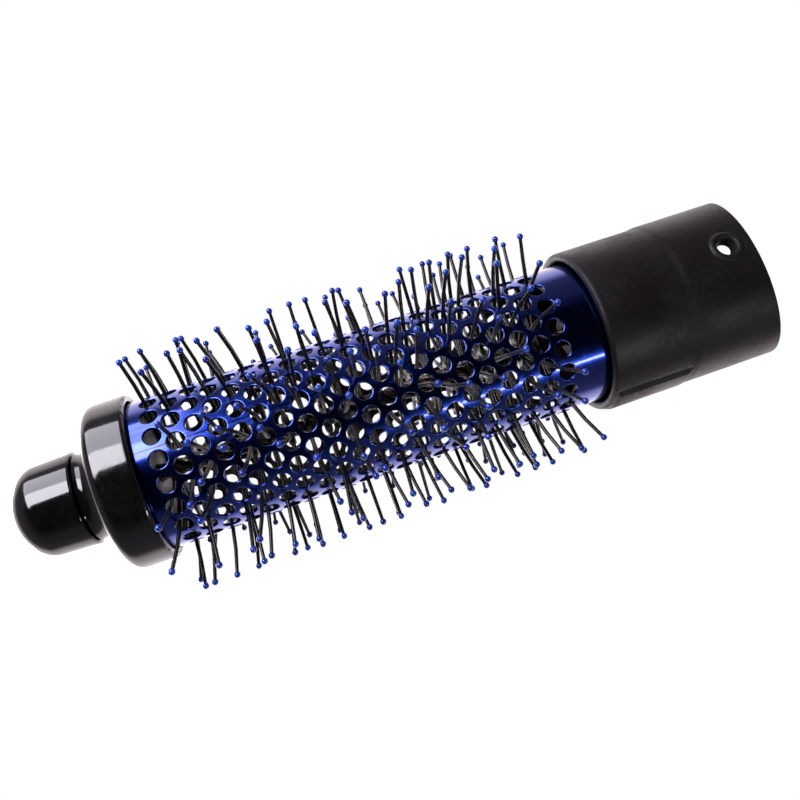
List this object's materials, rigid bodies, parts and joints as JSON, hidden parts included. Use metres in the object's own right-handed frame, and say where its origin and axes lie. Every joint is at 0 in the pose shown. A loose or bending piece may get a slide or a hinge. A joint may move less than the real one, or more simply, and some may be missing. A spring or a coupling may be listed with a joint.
{
  "type": "hot air brush",
  "caption": "Slip-on round brush for a hot air styler: perforated barrel, bristles through its holes, a turning cool tip and an open socket sleeve.",
  "frame": {"origin": "on the barrel's axis, level with the longest side of the sleeve's slanted open end", "axes": "+Z along the barrel from the sleeve to the cool tip; the latch hole in the sleeve faces -Y, turned a little towards +X"},
  "size_m": [0.0521, 0.052, 0.1732],
  "materials": {
    "matt_black_plastic": "fine spark-eroded texture, matt",
    "gloss_black_plastic": "moulded, polished",
    "blue_anodised_aluminium": "blue anodised, satin gloss with fine lines along the sheet",
    "black_nylon": "drawn filament, gloss",
    "blue_tip_plastic": "round ball tips, gloss",
    "zinc_plated_steel": "plated"
  },
  "bodies": {
    "brush": {"grip_sleeve": "matt_black_plastic", "rear_collar": "matt_black_plastic", "air_spider": "matt_black_plastic", "front_core_plug": "matt_black_plastic", "end_cap": "gloss_black_plastic", "perforated_barrel": "blue_anodised_aluminium", "wire_core": "zinc_plated_steel", "core_lock_washer": "zinc_plated_steel", "tip_washer": "zinc_plated_steel", "collar_screw_1": "zinc_plated_steel", "collar_screw_2": "zinc_plated_steel", "collar_screw_3": "zinc_plated_steel", "collar_screw_4": "zinc_plated_steel", "bristle_row_01": "black_nylon", "bristle_row_02": "black_nylon", "bristle_row_03": "black_nylon", "bristle_row_04": "black_nylon", "bristle_row_05": "black_nylon", "bristle_row_06": "black_nylon", "bristle_row_07": "black_nylon", "bristle_row_08": "black_nylon", "bristle_row_09": "black_nylon", "bristle_row_10": "black_nylon", "bristle_row_11": "black_nylon", "bristle_row_12": "black_nylon", "bristle_row_13": "black_nylon", "bristle_row_14": "black_nylon", "bristle_row_15": "black_nylon", "bristle_row_16": "black_nylon", "bristle_row_17": "black_nylon", "bristle_row_18": "black_nylon", "bristle_row_19": "black_nylon", "bristle_row_20": "black_nylon", "bristle_row_21": "black_nylon"},
    "tip": {"cool_tip": "gloss_black_plastic", "tip_screw": "zinc_plated_steel"}
  },
  "joints": [
    {"name": "cool_tip_turn", "type": "hinge", "parent": "brush", "child": "tip", "pos_m": [0, 0, 0.1584], "axis": [0, 0, 1], "continuous": true}
  ]
}
